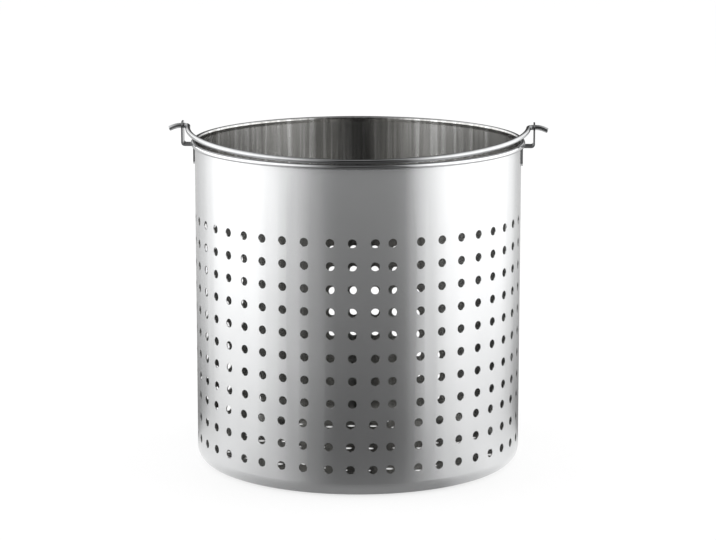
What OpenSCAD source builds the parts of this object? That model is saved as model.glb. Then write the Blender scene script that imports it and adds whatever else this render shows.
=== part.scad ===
// Steamer basket for a stock pot: a deep drawn, perforated steel basket
// with a rolled rim, two welded ears and a loose wire bail.
// Millimetres, Z up. The origin is the middle of the floor's underside,
// X runs through the two ears and the bail lies towards -Y.

/* [Basket shell] */
// Outside diameter of the straight wall
wall_d = 310; // [260:1:380]
// Height from the floor's underside to the top of the rolled rim
basket_h = 309; // [240:1:380]
// Thickness of the drawn sheet
sheet_t = 1; // [0.8:0.1:1.3]
// Outside radius of the corner between wall and floor
corner_r = 12.5; // [8:0.5:18]
// Outside diameter of the rolled rim
rim_d = 4.8; // [4.4:0.1:6]
// Gap between the rim's rolled-in edge and the wall
curl_gap = 0.2; // [0.1:0.05:0.3]

/* [Wall holes] */
// Diameter of every punched hole
hole_d = 8.2; // [6:0.1:10]
// Height from one row of holes to the next
row_pitch = 21.3; // [19:0.1:25]
// Spacing of the columns, measured round the wall
column_pitch = 21.6; // [19:0.1:25]
// Height of the lowest row above the floor's underside
first_row_z = 26; // [22:0.5:34]
// Rows in the lower punched band
lower_rows = 3; // [2:1:4]
// Height from the lower band's top row to the upper band's first row
band_step = 19.2; // [15:0.1:25]
// How far the lower band is turned round the wall against the upper one
band_turn = 1.7; // [0:0.1:3]
// Height of the unpunched wall, from the top row's holes to the top of the rim
plain_band = 68; // [50:0.5:85]
// Shift of the four columns where the punched rows meet, along the wall
front_shifts = [2.7, 1.3, 0.6, -5.1]; // [-6:0.1:6]

/* [Floor holes] */
// Spacing of the rings of holes in the floor
ring_pitch = 21.3; // [19:0.1:25]
// Least flat metal outside the last ring
floor_margin = 8; // [5:0.5:12]

/* [Ears] */
// Width of the ear strap
ear_w = 18; // [16:0.5:26]
// Thickness of the ear strap
ear_t = 1.5; // [1.2:0.1:2]
// Distance from the wall to the ear's upright plate
ear_reach = 11.25; // [10:0.25:14]
// How far the welded tab hangs below the rim's centre line
tab_drop = 21.3; // [16:0.5:28]
// Inside radius of the bend between tab and step
tab_bend = 1; // [0.8:0.1:1.6]
// Inside radius of the bend between step and plate
plate_bend = 2; // [1:0.1:3]
// Corner radius at the top of the plate
plate_corner = 7; // [4:0.5:7.5]
// Corner radius at the foot of the tab
tab_corner = 4; // [2:0.5:6]
// Metal left above the eye
eye_crown = 1.9; // [1.5:0.1:4]
// Radial play of the bail wire in the eye
eye_play = 0.4; // [0.3:0.05:0.6]
// Gap between an ear and the shell it is welded to
weld_gap = 0.1; // [0.05:0.05:0.2]
// Spacing of the two spot welds on a tab
weld_pitch = 9; // [8:0.5:10]
// Diameter of a spot weld's dimple
weld_d = 4; // [3:0.5:5]
// Depth of a spot weld's dimple
weld_sink = 0.3; // [0.1:0.05:0.4]

/* [Bail] */
// Diameter of the bail wire
wire_d = 4.8; // [4:0.1:5.5]
// Height of the bail's pivot above the rim's centre line
pivot_rise = 14.5; // [13:0.5:20]
// Gap between the bail's leg and the ear's plate
leg_gap = 2.05; // [1.8:0.05:3]
// Centre line radius of the bend at the foot of each leg
foot_bend = 4; // [3.8:0.1:4.2]
// Straight wire outside the ear before the hook starts
hook_start = 1; // [0.8:0.1:2]
// Centre line radius of the hooked end
hook_bend = 20; // [12:0.5:28]
// Angle through which the end is hooked down
hook_turn = 24; // [16:1:45]
// Straight length at the hooked end
hook_tip = 3.4; // [1.5:0.1:5]
// Rounding of the wire's cut end
end_round = 0.8; // [0.4:0.1:1.2]
// How much thinner the wire is drawn where it is bent sharply
bend_thinning = 0.03; // [0.02:0.01:0.1]
// Gap between the resting bail and the rim
rest_gap = 0.3; // [0.3:0.05:0.5]

/* [Hidden] */
$fn = 96;
// Overshoot of a cutting shape past the face that it cuts
cut_over = 1;
// Length by which a sharp bend reaches into the straight wire beside it
bend_lap = 0.1;

wall_r = wall_d / 2;
rim_r = rim_d / 2;
curl_r = rim_r - sheet_t;
rim_z = basket_h - rim_r;
rim_centre_r = wall_r + curl_r;
rim_outer_r = rim_centre_r + rim_r;

column_count = round(PI * wall_d / column_pitch);
column_angle = 360 / column_count;
upper_row_z = first_row_z + (lower_rows - 1) * row_pitch + band_step;
// The upper band fills the height between its first row and the plain band
upper_band_h = basket_h - plain_band - hole_d / 2 - upper_row_z;
upper_steps = round(upper_band_h / row_pitch);
upper_pitch = upper_band_h / upper_steps;
floor_flat_r = wall_r - corner_r;
ring_count = floor((floor_flat_r - floor_margin - hole_d / 2) / ring_pitch);

plate_x = wall_r + ear_reach;
step_z = rim_z - rim_r - weld_gap;
tab_z = rim_z - tab_drop;
eye_r = wire_d / 2 + eye_play;
pivot_z = rim_z + pivot_rise;
plate_top_z = pivot_z + eye_r + eye_crown;
// Mean height of the tab's flat face, where the spot welds are
weld_z = (tab_z + step_z - ear_t - tab_bend) / 2;
weld_ball_r = (weld_sink * weld_sink + weld_d * weld_d / 4) / (2 * weld_sink);

wire_r = wire_d / 2;
leg_x = plate_x - leg_gap - wire_r;
// The bail's middle lies on the rim, so its plane slopes down from the pivot
bail_drop = pivot_rise - rim_r - wire_r - rest_gap;
bail_slope = atan2(bail_drop, rim_centre_r);
bail_depth = norm([rim_centre_r, bail_drop]);
// One circle through the bail's middle and both legs
bow_r = (leg_x * leg_x / bail_depth + bail_depth) / 2;
bow_back = bow_r - bail_depth;
foot_x = sqrt(pow(bow_r + foot_bend, 2) - pow(foot_bend + bow_back, 2));
foot_angle = atan2(foot_bend + bow_back, foot_x);
hook_x = plate_x + ear_t + hook_start;

// Quarter of a bent strip, from 0 to 90 degrees, seen in section
module bend_section(inner_r, strip_t) {
    intersection() {
        difference() {
            circle(r = inner_r + strip_t);
            circle(r = inner_r);
        }
        square(inner_r + strip_t);
    }
}

// Section of the rolled rim, open towards the wall below its middle
module curl_section() {
    lip_angle = acos((curl_r - curl_gap) / rim_r);
    mouth = 2 * rim_d;
    difference() {
        circle(r = rim_r);
        circle(r = curl_r);
        polygon([
            [0, 0],
            [-mouth, 0],
            [-mouth, -mouth * sin(lip_angle)],
            [-mouth * cos(lip_angle), -mouth * sin(lip_angle)]
        ]);
    }
}

// Half section of the drawn shell: floor, corner, wall and rolled rim
module shell_section() {
    square([floor_flat_r, sheet_t]);
    translate([floor_flat_r, corner_r])
        mirror([0, 1])
            bend_section(corner_r - sheet_t, sheet_t);
    translate([wall_r - sheet_t, corner_r])
        square([sheet_t, rim_z - corner_r]);
    translate([rim_centre_r, rim_z])
        curl_section();
}

// One punched hole through the wall; turn is counted from the front middle
module wall_hole(turn, z) {
    rotate([0, 0, turn])
        translate([0, -wall_r + sheet_t + cut_over, z])
            rotate([90, 0, 0])
                cylinder(d = hole_d, h = sheet_t + 2 * cut_over);
}

// Angle of a column, with the four front columns moved off the even pitch
function column_turn(k) =
    let (moved = (k + 1) % column_count)
    let (shift = moved < len(front_shifts) ? front_shifts[moved] : 0)
    k * column_angle + shift / wall_r * 180 / PI;

module wall_holes() {
    band_angle = band_turn / wall_r * 180 / PI;
    for (k = [0 : column_count - 1]) {
        for (row = [0 : lower_rows - 1])
            wall_hole(column_turn(k) - band_angle, first_row_z + row * row_pitch);
        for (row = [0 : upper_steps])
            wall_hole(column_turn(k), upper_row_z + row * upper_pitch);
    }
}

module floor_hole(x, y) {
    translate([x, y, -cut_over])
        cylinder(d = hole_d, h = sheet_t + 2 * cut_over);
}

// A hole in the middle and six more in each ring outwards
module floor_holes() {
    floor_hole(0, 0);
    for (ring = [1 : ring_count])
        for (k = [0 : 6 * ring - 1])
            rotate([0, 0, 60 * k / ring])
                floor_hole(ring * ring_pitch, 0);
}

module basket_shell() {
    color([0.74, 0.75, 0.76])
        difference() {
            rotate_extrude()
                shell_section();
            wall_holes();
            floor_holes();
        }
}

// Side view of the ear strap: tab, bend, step, bend and upright plate
module ear_section() {
    tab_face_x = wall_r + ear_t;
    tab_bend_z = step_z - ear_t - tab_bend;
    // The tab's back runs into the wall here and is cut to its curve later
    translate([wall_r - ear_t, tab_z])
        square([2 * ear_t, tab_bend_z - tab_z]);
    translate([tab_face_x + tab_bend, tab_bend_z])
        mirror([1, 0])
            bend_section(tab_bend, ear_t);
    translate([tab_face_x + tab_bend, step_z - ear_t])
        square([plate_x - plate_bend - tab_face_x - tab_bend, ear_t]);
    translate([plate_x - plate_bend, step_z + plate_bend])
        mirror([0, 1])
            bend_section(plate_bend, ear_t);
    translate([plate_x, step_z + plate_bend])
        square([ear_t, plate_top_z - step_z - plate_bend]);
}

// Front view of the ear strap, with its rounded corners
module ear_outline() {
    for (side = [-1, 1]) {
        translate([side * (ear_w / 2 - plate_corner), plate_top_z - plate_corner])
            circle(r = plate_corner);
        translate([side * (ear_w / 2 - tab_corner), tab_z + tab_corner])
            circle(r = tab_corner);
    }
    translate([-ear_w / 2, tab_z + tab_corner])
        square([ear_w, plate_top_z - plate_corner - tab_z - tab_corner]);
    translate([-ear_w / 2 + plate_corner, tab_z + tab_corner])
        square([ear_w - 2 * plate_corner, plate_top_z - tab_z - tab_corner]);
    translate([-ear_w / 2 + tab_corner, tab_z])
        square([ear_w - 2 * tab_corner, tab_corner]);
}

// The ear on the +X side
module ear() {
    difference() {
        intersection() {
            rotate([90, 0, 0])
                linear_extrude(height = ear_w, center = true)
                    ear_section();
            translate([wall_r - ear_t, 0, 0])
                rotate([90, 0, 90])
                    linear_extrude(height = ear_reach + 3 * ear_t)
                        ear_outline();
        }
        translate([0, 0, tab_z - cut_over])
            cylinder(r = wall_r + weld_gap, h = tab_drop, $fn = 180);
        translate([plate_x - cut_over, 0, pivot_z])
            rotate([0, 90, 0])
                cylinder(r = eye_r, h = ear_t + 2 * cut_over);
        for (side = [-1, 1])
            translate([
                wall_r + ear_t + weld_ball_r - weld_sink,
                side * weld_pitch / 2,
                weld_z
            ])
                sphere(r = weld_ball_r);
    }
}

module right_ear() {
    color([0.66, 0.67, 0.68])
        ear();
}

module left_ear() {
    color([0.66, 0.67, 0.68])
        mirror([1, 0, 0])
            ear();
}

// Cut end of the wire along +Z, with a rounded edge
module wire_end() {
    rotate_extrude() {
        square([wire_r, hook_tip - end_round]);
        square([wire_r - end_round, hook_tip]);
        translate([wire_r - end_round, hook_tip - end_round])
            circle(r = end_round);
    }
}

// Sharply bent stretch of wire about the origin, lapped into its neighbours
module wire_bend(bend_r, from_angle, turn) {
    lap_angle = bend_lap / bend_r * 180 / PI;
    rotate([0, 0, from_angle - lap_angle])
        rotate_extrude(angle = turn + 2 * lap_angle)
            translate([bend_r, 0])
                circle(d = wire_d - bend_thinning);
}

// Foot bend, straight stretch through the eye and hooked end on the +X side
module bail_end() {
    translate([foot_x, -foot_bend, 0])
        wire_bend(foot_bend, 90, 90 - foot_angle);
    translate([foot_x, 0, 0])
        rotate([0, 90, 0])
            cylinder(r = wire_r, h = hook_x - foot_x);
    translate([hook_x, 0, -hook_bend])
        rotate([90, 0, 0])
            wire_bend(hook_bend, 90 - hook_turn, hook_turn);
    translate([
        hook_x + hook_bend * sin(hook_turn),
        0,
        -hook_bend * (1 - cos(hook_turn))
    ])
        rotate([0, 90 + hook_turn, 0])
            wire_end();
}

module bail_handle() {
    color([0.7, 0.71, 0.72])
        translate([0, 0, pivot_z])
            rotate([bail_slope, 0, 0]) {
                translate([0, bow_back, 0])
                    rotate([0, 0, 180 + foot_angle])
                        rotate_extrude(angle = 180 - 2 * foot_angle)
                            translate([bow_r, 0])
                                circle(r = wire_r);
                bail_end();
                mirror([1, 0, 0])
                    bail_end();
            }
}

basket_shell();
left_ear();
right_ear();
bail_handle();
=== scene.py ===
"""Looks of the steamer basket: brushed steel, a plain studio and the photograph's camera."""

import math

import bpy
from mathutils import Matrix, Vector


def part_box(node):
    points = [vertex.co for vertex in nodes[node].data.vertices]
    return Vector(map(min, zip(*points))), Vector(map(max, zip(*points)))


# Camera that was fitted to the photograph, in metres and degrees, with its lens and sensor in millimetres
CAMERA_DISTANCE = 2.59769
CAMERA_HEIGHT = 0.69781
CAMERA_TURN = 2.4
CAMERA_PITCH = 11.2275
CAMERA_LENS = 138.84
CAMERA_SENSOR = 36.0

# Sizes of the shell that the frame doesn't give, in metres
SHEET = 0.001
CORNER_RADIUS = 0.0125
RIM_HEIGHT = 0.0048

# Colours of the metals, from the dark marks to the light ones, as (pattern value, colour)
OUTER_STEEL = [(0.3, (0.64, 0.645, 0.65)), (0.7, (0.7, 0.705, 0.71))]
# Inside: painted shade, darker than the outside of the same sheet, with light streaks that are partly
# draw marks and partly painted reflections
SHADED_INNER_STEEL = [(0.35, (0.36, 0.355, 0.34)), (0.5, (0.54, 0.535, 0.52)), (0.62, (0.82, 0.82, 0.81))]
# Deep inside: painted shade, darker still
SHADED_DEEP_STEEL = [(0.35, (0.26, 0.257, 0.247)), (0.5, (0.36, 0.357, 0.347)), (0.62, (0.5, 0.5, 0.494))]
EAR_STEEL = [(0.3, (0.48, 0.485, 0.49)), (0.7, (0.6, 0.605, 0.61))]
WIRE_STEEL = [(0.3, (0.48, 0.485, 0.49)), (0.7, (0.56, 0.565, 0.57))]

# The inside has its deep colours, painted shade darker than the rest, up to the first height and its
# inner ones from the second, in metres
DEEP_SHADE_HEIGHTS = (0.2, 0.26)

# Roughness where the pattern is 0 and where it is 1
OUTER_ROUGHNESS = (0.23, 0.28)
INNER_ROUGHNESS = (0.22, 0.16)
RIM_ROUGHNESS = (0.08, 0.11)
EAR_ROUGHNESS = (0.14, 0.24)
WIRE_ROUGHNESS = (0.08, 0.14)

# How metallic the satin outside is, at the foot and at the top of the wall
SATIN_METAL = (0.97, 0.8)

# Floor, in metres, and how much of it the camera sees as plain white
FLOOR_REACH = 14.0
FLOOR_WHITE = 0.7

# Softboxes, with their places and sizes in metres and their power in watts
SOFTBOX_TARGET = (0, 0, 0.3)
SOFTBOXES = {
    "left_softbox": {"place": (-2.25, -0.15, 0.7), "size": (2.7, 1.2), "power": 20},
    "right_softbox": {"place": (2.25, 0.2, 0.7), "size": (3.1, 1.2), "power": 23},
}

# Grey boards as a product photographer sets them round polished metal. They only show in the metal.
# One lies on the floor, a low one runs round the horizon and a dome closes the top.
# Their distances from the basket's axis and their lift over the floor are in metres
BOARD_NEAR = 0.147
BOARD_FAR = 3.3
BOARD_LIFT = 0.0004
FLOOR_RINGS = (BOARD_NEAR, 0.3, 0.8, 1.6, BOARD_FAR)
RING_STEPS = 120
# Angles above the floor are in degrees
HORIZON_TOP = 10
DOME_TOP = 90
HORIZON_ROWS = 4
DOME_ROWS = 26
# Directions are measured from the axis in front of this Y, and go over to the basket's side behind it
SIDE_START = -0.1
# Direction in degrees, 0 in front and 90 on the right, and how far the grey has gone from front to sides
FRONT_FADE = [
    (-180, 1.0), (-72, 1.0), (-57, 0.73), (-47, 0.46), (-37, 0.26), (-28, 0.11), (-19, 0.03), (-10, 0.0),
    (26, 0.0), (34, 0.01), (42, 0.32), (52, 0.55), (62, 0.83), (72, 1.0), (180, 1.0),
]
DOME_FRONT_FADE = [
    (-180, 1.0), (-62, 1.0), (-47, 0.85), (-37, 0.6), (-28, 0.3), (-19, 0.08), (-10, 0.0),
    (18, 0.0), (26, 0.02), (34, 0.1), (42, 0.42), (55, 1.0), (180, 1.0),
]
# Direction, and how far the grey has gone from the sides to what stands behind
BACK_FADE = [
    (-180, 1.0), (-153, 1.0), (-135, 0.78), (-128, 0.6), (-116, 0.25), (-101, 0.0),
    (110, 0.0), (122, 0.12), (132, 0.34), (141, 0.6), (150, 0.88), (159, 1.0), (180, 1.0),
]
DOME_BACK_FADE = [
    (-180, 1.0), (-172, 0.95), (-163, 0.6), (-150, 0.3), (-130, 0.1), (-110, 0.0),
    (110, 0.0), (130, 0.1), (150, 0.3), (163, 0.6), (172, 0.95), (180, 1.0),
]
# Distance from the basket's axis and grey level on the floor, in front, at the sides and behind
FLOOR_TONES = (
    [
        (BOARD_NEAR, 0.32), (0.19, 0.22), (0.26, 0.09), (0.4, 0.06), (0.6, 0.05),
        (0.9, 0.14), (1.3, 0.26), (1.9, 0.22), (BOARD_FAR, 0.06),
    ],
    [(BOARD_NEAR, 1.15), (0.2, 1.05), (0.35, 0.55), (0.6, 0.8), (0.9, 1.5), (1.4, 2.1), (BOARD_FAR, 2.2)],
    [(BOARD_NEAR, 0.3), (0.3, 0.2), (0.6, 0.35), (1.4, 0.65), (BOARD_FAR, 0.7)],
)
# Angle above the floor and grey level, in front, at the sides and behind
HORIZON_TONES = (
    [(0, 0.15), (HORIZON_TOP, 0.06)],
    [(0, 2.1), (HORIZON_TOP, 2.1)],
    [(0, 0.4), (HORIZON_TOP, 0.08)],
)
DOME_TONES = (
    [(HORIZON_TOP, 0.03), (30, 0.01), (50, 0.05), (70, 0.3), (DOME_TOP, 0.45)],
    [(HORIZON_TOP, 2.1), (25, 2.0), (45, 1.5), (60, 0.7), (DOME_TOP, 0.15)],
    [(HORIZON_TOP, 0.06), (30, 0.04), (60, 0.06), (DOME_TOP, 0.15)],
)

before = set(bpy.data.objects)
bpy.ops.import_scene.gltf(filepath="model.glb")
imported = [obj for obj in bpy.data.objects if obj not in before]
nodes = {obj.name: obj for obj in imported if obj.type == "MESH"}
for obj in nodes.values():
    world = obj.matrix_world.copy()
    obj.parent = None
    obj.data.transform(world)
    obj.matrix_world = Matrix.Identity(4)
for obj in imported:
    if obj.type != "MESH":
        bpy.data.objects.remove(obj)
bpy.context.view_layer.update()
scene = bpy.context.scene


def top_of(node):
    """Height of a CAD piece's top above the floor."""
    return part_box(node)[1][2]


def wall_radius_of(node):
    """Radius of a round piece's straight wall, the largest one in its lower half."""
    middle = top_of(node) / 2
    return max(math.hypot(v.co.x, v.co.y) for v in nodes[node].data.vertices if v.co.z < middle)


wall_radius = wall_radius_of("basket_shell")
rim_foot = top_of("basket_shell") - RIM_HEIGHT


def node_tree(name):
    """New material with an empty node tree."""
    material = bpy.data.materials.new(name)
    material.use_nodes = True
    tree = material.node_tree
    tree.nodes.clear()
    return material, tree


def add(tree, kind, **settings):
    node = tree.nodes.new(kind)
    for key, value in settings.items():
        setattr(node, key, value)
    return node


def show(tree, shader):
    """Wires a shader node to the material's output."""
    output = add(tree, "ShaderNodeOutputMaterial")
    tree.links.new(shader.outputs[0], output.inputs["Surface"])


def math_node(tree, operation, first, second=None, clamp=False):
    node = add(tree, "ShaderNodeMath", operation=operation, use_clamp=clamp)
    for socket, value in zip(node.inputs, (first, second)):
        if value is None:
            continue
        if isinstance(value, (int, float)):
            socket.default_value = value
        else:
            tree.links.new(value, socket)
    return node.outputs[0]


def hypotenuse(tree, first, second):
    first_square = math_node(tree, "MULTIPLY", first, first)
    second_square = math_node(tree, "MULTIPLY", second, second)
    return math_node(tree, "SQRT", math_node(tree, "ADD", first_square, second_square))


def weighted(tree, first, second, share):
    """Mean of two values, with the first one's share given."""
    first = math_node(tree, "MULTIPLY", first, share)
    return math_node(tree, "ADD", first, math_node(tree, "MULTIPLY", second, 1 - share))


def spread(tree, value, low, high, start=0.0, end=1.0):
    """Maps start..end to low..high."""
    node = add(tree, "ShaderNodeMapRange")
    for name, number in (("From Min", start), ("From Max", end), ("To Min", low), ("To Max", high)):
        node.inputs[name].default_value = number
    tree.links.new(value, node.inputs["Value"])
    return node.outputs["Result"]


def blended(tree, factor, first, second, kind="FLOAT"):
    """First where the factor is 0 and second where it is 1. The kind is RGBA for colours."""
    node = add(tree, "ShaderNodeMix", data_type=kind)
    for name, value in (("Factor", factor), ("A", first), ("B", second)):
        tree.links.new(value, node.inputs[name])
    return node.outputs["Result"]


def ramp(tree, factor, stops):
    """Colour that follows the stops, given as (place, grey or colour) with places from 0 to 1."""
    node = add(tree, "ShaderNodeValToRGB")
    elements = node.color_ramp.elements
    while len(elements) < len(stops):
        elements.new(0.5)
    for element, (place, value) in zip(elements, stops):
        element.position = place
        element.color = (value, value, value, 1) if isinstance(value, (int, float)) else (*value, 1)
    tree.links.new(factor, node.inputs["Fac"])
    return node.outputs["Color"]


def curve_of(tree, value, stops):
    """Grey that follows the stops, given as (value, grey)."""
    first = stops[0][0]
    reach = stops[-1][0] - first
    place = math_node(tree, "DIVIDE", math_node(tree, "SUBTRACT", value, first), reach, clamp=True)
    return ramp(tree, place, [((at - first) / reach, grey) for at, grey in stops])


def noise(tree, vector, scale=1.0, detail=3.0, roughness=0.6):
    node = add(tree, "ShaderNodeTexNoise")
    node.inputs["Scale"].default_value = scale
    node.inputs["Detail"].default_value = detail
    node.inputs["Roughness"].default_value = roughness
    tree.links.new(vector, node.inputs["Vector"])
    return node.outputs["Fac"]


def object_place(tree):
    return add(tree, "ShaderNodeTexCoord").outputs["Object"]


def object_axes(tree):
    axes = add(tree, "ShaderNodeSeparateXYZ")
    tree.links.new(object_place(tree), axes.inputs[0])
    return axes.outputs


def stretched(tree, around, along):
    """Texture coordinates that follow a round piece, scaled round Z and along its section."""
    x, y, z = object_axes(tree)
    radius = hypotenuse(tree, x, y)
    joined = add(tree, "ShaderNodeCombineXYZ")
    for socket, value in zip(joined.inputs, (x, y)):
        turned = math_node(tree, "MULTIPLY", math_node(tree, "DIVIDE", value, radius), around)
        tree.links.new(turned, socket)
    section = math_node(tree, "MULTIPLY", math_node(tree, "ADD", radius, z), along)
    tree.links.new(section, joined.inputs[2])
    return joined.outputs[0]


def finish_metal(tree, color, roughness, marks, bump_strength, bump_distance):
    """Metal with a colour and roughness from the nodes, and marks that also stand out as a fine bump."""
    shader = add(tree, "ShaderNodeBsdfPrincipled")
    shader.inputs["Metallic"].default_value = 1.0
    tree.links.new(color, shader.inputs["Base Color"])
    tree.links.new(roughness, shader.inputs["Roughness"])
    bump = add(tree, "ShaderNodeBump")
    bump.inputs["Strength"].default_value = bump_strength
    bump.inputs["Distance"].default_value = bump_distance
    tree.links.new(marks, bump.inputs["Height"])
    tree.links.new(bump.outputs["Normal"], shader.inputs["Normal"])
    show(tree, shader)
    return shader


def inside_of_shell(tree):
    """1 on the sheet's inner face and 0 on its outer face, along floor, corner and wall."""
    x, y, z = object_axes(tree)
    across = math_node(tree, "SUBTRACT", hypotenuse(tree, x, y), wall_radius - CORNER_RADIUS)
    below = math_node(tree, "SUBTRACT", CORNER_RADIUS, z)
    outward = math_node(tree, "MAXIMUM", across, 0.0)
    downward = math_node(tree, "MAXIMUM", below, 0.0)
    reach = hypotenuse(tree, outward, downward)
    # The change lies in the middle of the sheet's thickness
    return spread(tree, reach, 1.0, 0.0, CORNER_RADIUS - 0.7 * SHEET, CORNER_RADIUS - 0.3 * SHEET)


def marks_on_shell(tree, radius):
    """Fine lines, the polished outside and the drawn inside, as patterns from 0 to 1. The inside's
    streaks are draw marks, and in the inside's colour they are also painted reflection streaks.
    """
    on_wall = spread(tree, radius, 0.0, 1.0, wall_radius - CORNER_RADIUS, wall_radius - 2 * SHEET)
    floor_clouds = noise(tree, object_place(tree), scale=22.0, detail=4.0)
    wall_clouds = noise(tree, stretched(tree, around=3.0, along=14.0), roughness=0.55)
    clouds = blended(tree, on_wall, floor_clouds, wall_clouds)
    lines = noise(tree, stretched(tree, around=3.0, along=3000.0))
    # Streaks up the inside: draw marks, and in the inside's colour also painted reflection streaks
    draws_and_painted_streaks = noise(tree, stretched(tree, around=22.0, along=2.5), detail=4.0)
    polished = weighted(tree, lines, clouds, share=0.3)
    drawn = blended(tree, on_wall, clouds, weighted(tree, draws_and_painted_streaks, clouds, share=0.85))
    return lines, polished, drawn


def shell_steel():
    """Satin outside, draw marks up the inside with a calm floor, and a smoother rolled rim. The inside is
    painted darker than the outside as painted shade, darker still low down, and its streaks are partly
    painted reflections.
    """
    material, tree = node_tree("shell_steel_polished")
    x, y, z = object_axes(tree)
    lines, polished, drawn = marks_on_shell(tree, hypotenuse(tree, x, y))
    inside = inside_of_shell(tree)
    at_rim = spread(tree, z, 0.0, 1.0, rim_foot - SHEET, rim_foot)

    # Painted shade: darker colours low down in the basket
    upper = spread(tree, z, 0.0, 1.0, *DEEP_SHADE_HEIGHTS)
    deep_shade_color = ramp(tree, drawn, SHADED_DEEP_STEEL)
    # Painted shade and painted reflection streaks: the inside's colour is darker than the outside's, with
    # light streaks
    shaded_upper_color = ramp(tree, drawn, SHADED_INNER_STEEL)
    shaded_inner_color = blended(tree, upper, deep_shade_color, shaded_upper_color, "RGBA")
    color = blended(tree, inside, ramp(tree, polished, OUTER_STEEL), shaded_inner_color, "RGBA")

    outer_rough = spread(tree, polished, *OUTER_ROUGHNESS)
    inner_rough = spread(tree, drawn, *INNER_ROUGHNESS)
    rim_rough = spread(tree, polished, *RIM_ROUGHNESS)
    roughness = blended(tree, at_rim, blended(tree, inside, outer_rough, inner_rough), rim_rough)

    marks = blended(tree, inside, lines, drawn)
    shader = finish_metal(tree, color, roughness, marks, bump_strength=0.1, bump_distance=0.00003)

    # The fine lines run round the wall, so they draw each highlight out up and down it
    tangent = add(tree, "ShaderNodeTangent", direction_type="RADIAL", axis="Z")
    tree.links.new(tangent.outputs[0], shader.inputs["Tangent"])
    shader.inputs["Anisotropic"].default_value = 1.0
    shader.inputs["Anisotropic Rotation"].default_value = 0.25

    # The satin outside scatters some light in all directions, and the rim and the inside don't
    satin = spread(tree, z, *SATIN_METAL, start=0.0, end=rim_foot)
    smooth = math_node(tree, "MAXIMUM", inside, at_rim)
    tree.links.new(math_node(tree, "MAXIMUM", satin, smooth), shader.inputs["Metallic"])
    return material


def ear_steel():
    """Plain rolled strip, with its fine lines up and down."""
    material, tree = node_tree("ear_steel_strip")
    place = object_place(tree)
    upright = add(tree, "ShaderNodeMapping")
    upright.inputs["Scale"].default_value = (1.0, 1.0, 0.08)
    tree.links.new(place, upright.inputs["Vector"])
    lines = noise(tree, upright.outputs[0], scale=1600.0)
    clouds = noise(tree, place, scale=160.0, roughness=0.55)
    rolled = weighted(tree, lines, clouds, share=0.5)
    roughness = spread(tree, rolled, *EAR_ROUGHNESS)
    color = ramp(tree, rolled, EAR_STEEL)
    finish_metal(tree, color, roughness, lines, bump_strength=0.05, bump_distance=0.00005)
    return material


def wire_steel():
    """Bright wire, with its fine lines drawn along the bow."""
    material, tree = node_tree("wire_steel_drawn")
    lines = noise(tree, stretched(tree, around=4.0, along=1500.0))
    clouds = noise(tree, object_place(tree), scale=90.0, roughness=0.5)
    drawn = weighted(tree, lines, clouds, share=0.5)
    roughness = spread(tree, drawn, *WIRE_ROUGHNESS)
    color = ramp(tree, drawn, WIRE_STEEL)
    finish_metal(tree, color, roughness, lines, bump_strength=0.04, bump_distance=0.00002)
    return material


def dress_metal():
    finishes = {
        "basket_shell": shell_steel(),
        "left_ear": ear_steel(),
        "right_ear": ear_steel(),
        "bail_handle": wire_steel(),
    }
    for name, material in finishes.items():
        mesh = nodes[name].data
        mesh.materials.clear()
        mesh.materials.append(material)


def stage_mesh(name, vertices, faces, material):
    """Piece of the studio, which isn't part of the basket."""
    mesh = bpy.data.meshes.new(name)
    mesh.from_pydata(vertices, [], faces)
    mesh.materials.append(material)
    thing = bpy.data.objects.new(name, mesh)
    scene.collection.objects.link(thing)
    return thing


def floor_paint():
    """White that keeps a soft shadow: the camera sees part of it as plain white."""
    material, tree = node_tree("floor_paint")
    matt = add(tree, "ShaderNodeBsdfDiffuse")
    matt.inputs["Color"].default_value = (1, 1, 1, 1)
    white = add(tree, "ShaderNodeEmission")
    from_camera = add(tree, "ShaderNodeLightPath").outputs["Is Camera Ray"]
    seen = math_node(tree, "MULTIPLY", from_camera, FLOOR_WHITE)
    mix = add(tree, "ShaderNodeMixShader")
    for value, socket in zip((seen, matt.outputs[0], white.outputs[0]), mix.inputs):
        tree.links.new(value, socket)
    show(tree, mix)
    return material


def make_floor():
    signs = [(-1, -1), (1, -1), (1, 1), (-1, 1)]
    corners = [(x * FLOOR_REACH, y * FLOOR_REACH, 0) for x, y in signs]
    stage_mesh("floor", corners, [(0, 1, 2, 3)], floor_paint())


def direction_round_basket(tree, x, y):
    """Direction of a point in degrees. Behind the basket it is measured from the basket's side."""
    side = spread(tree, y, 0.0, wall_radius, SIDE_START, wall_radius)
    past_side = math_node(tree, "SUBTRACT", math_node(tree, "ABSOLUTE", x), side)
    aside = math_node(tree, "MAXIMUM", past_side, 0.0)
    aside = math_node(tree, "MULTIPLY", aside, math_node(tree, "SIGN", x))
    turn = math_node(tree, "ARCTAN2", aside, math_node(tree, "MULTIPLY", y, -1.0))
    return math_node(tree, "MULTIPLY", turn, math.degrees(1))


def board_paint(name, place, tones, fades):
    """Glowing grey that follows the direction, and the distance or the lift of a point as its place."""
    material, tree = node_tree(name)
    x, y, z = object_axes(tree)
    along = distance = hypotenuse(tree, x, y)
    if place == "lift":
        along = math_node(tree, "MULTIPLY", math_node(tree, "ARCTAN2", z, distance), math.degrees(1))
    direction = direction_round_basket(tree, x, y)
    front, sides, behind = [curve_of(tree, along, stops) for stops in tones]
    to_sides, to_back = [curve_of(tree, direction, stops) for stops in fades]
    before = blended(tree, to_sides, front, sides, "RGBA")
    grey = blended(tree, to_back, before, behind, "RGBA")
    glow = add(tree, "ShaderNodeEmission")
    tree.links.new(grey, glow.inputs["Color"])
    show(tree, glow)
    return material


def ring_of_points(radius, height):
    turns = [2 * math.pi * step / RING_STEPS for step in range(RING_STEPS + 1)]
    return [(math.sin(turn) * radius, -math.cos(turn) * radius, height) for turn in turns]


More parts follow.
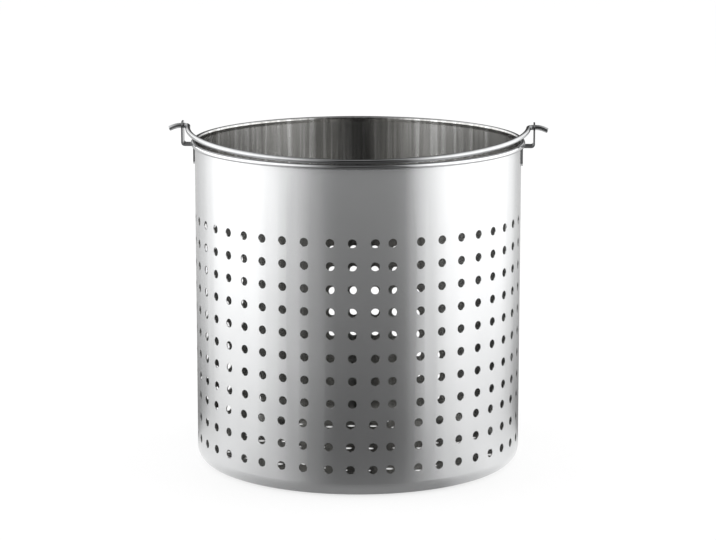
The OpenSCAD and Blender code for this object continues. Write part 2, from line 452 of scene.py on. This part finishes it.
def dome_rings(low, high, rows):
    lifts = [math.radians(low + (high - low) * row / rows) for row in range(rows + 1)]
    return [ring_of_points(BOARD_FAR * math.cos(lift), BOARD_FAR * math.sin(lift)) for lift in lifts]


def grid_faces(rows, columns):
    """Faces between rows of points that follow each other in one list."""
    starts = [row * columns + column for row in range(rows - 1) for column in range(columns - 1)]
    return [(start, start + columns, start + columns + 1, start + 1) for start in starts]


def board(name, rings, place, tones, fades):
    """Board that shows in reflections alone."""
    vertices = [point for ring in rings for point in ring]
    paint = board_paint(name + "_paint", place, tones, fades)
    thing = stage_mesh(name, vertices, grid_faces(len(rings), len(rings[0])), paint)
    thing.visible_camera = False
    thing.visible_diffuse = False
    thing.visible_transmission = False
    thing.visible_shadow = False


def make_boards():
    low_fades = (FRONT_FADE, BACK_FADE)
    dome_fades = (DOME_FRONT_FADE, DOME_BACK_FADE)
    floor_rings = [ring_of_points(radius, BOARD_LIFT) for radius in FLOOR_RINGS]
    horizon_rings = dome_rings(0, HORIZON_TOP, HORIZON_ROWS)
    sky_rings = dome_rings(HORIZON_TOP, DOME_TOP, DOME_ROWS)
    board("floor_board", floor_rings, "distance", FLOOR_TONES, low_fades)
    board("horizon_board", horizon_rings, "lift", HORIZON_TONES, low_fades)
    board("dome_board", sky_rings, "lift", DOME_TONES, dome_fades)


def softbox(name, place, size, power):
    """Lamp that lights the matt surfaces. In reflections the boards stand for it, with softer edges."""
    data = bpy.data.lights.new(name, "AREA")
    data.shape = "RECTANGLE"
    data.size, data.size_y = size
    data.energy = power
    thing = bpy.data.objects.new(name, data)
    scene.collection.objects.link(thing)
    thing.location = place
    aim = Vector(SOFTBOX_TARGET) - Vector(place)
    thing.rotation_euler = aim.to_track_quat("-Z", "Y").to_euler()
    thing.visible_glossy = False


def light_studio():
    for name, settings in SOFTBOXES.items():
        softbox(name, **settings)
    world = bpy.data.worlds.new("studio")
    world.use_nodes = True
    background = world.node_tree.nodes["Background"]
    background.inputs["Color"].default_value = (1, 1, 1, 1)
    background.inputs["Strength"].default_value = 1.0
    scene.world = world
    scene.view_settings.view_transform = "Standard"


def place_camera():
    turn = math.radians(CAMERA_TURN)
    camera = bpy.data.objects.new("camera", bpy.data.cameras.new("camera"))
    scene.collection.objects.link(camera)
    camera.location = (CAMERA_DISTANCE * math.sin(turn), -CAMERA_DISTANCE * math.cos(turn), CAMERA_HEIGHT)
    camera.rotation_euler = (math.radians(90 - CAMERA_PITCH), 0, turn)
    camera.data.sensor_width = CAMERA_SENSOR
    camera.data.lens = CAMERA_LENS
    scene.camera = camera


dress_metal()
make_floor()
make_boards()
light_studio()
place_camera()
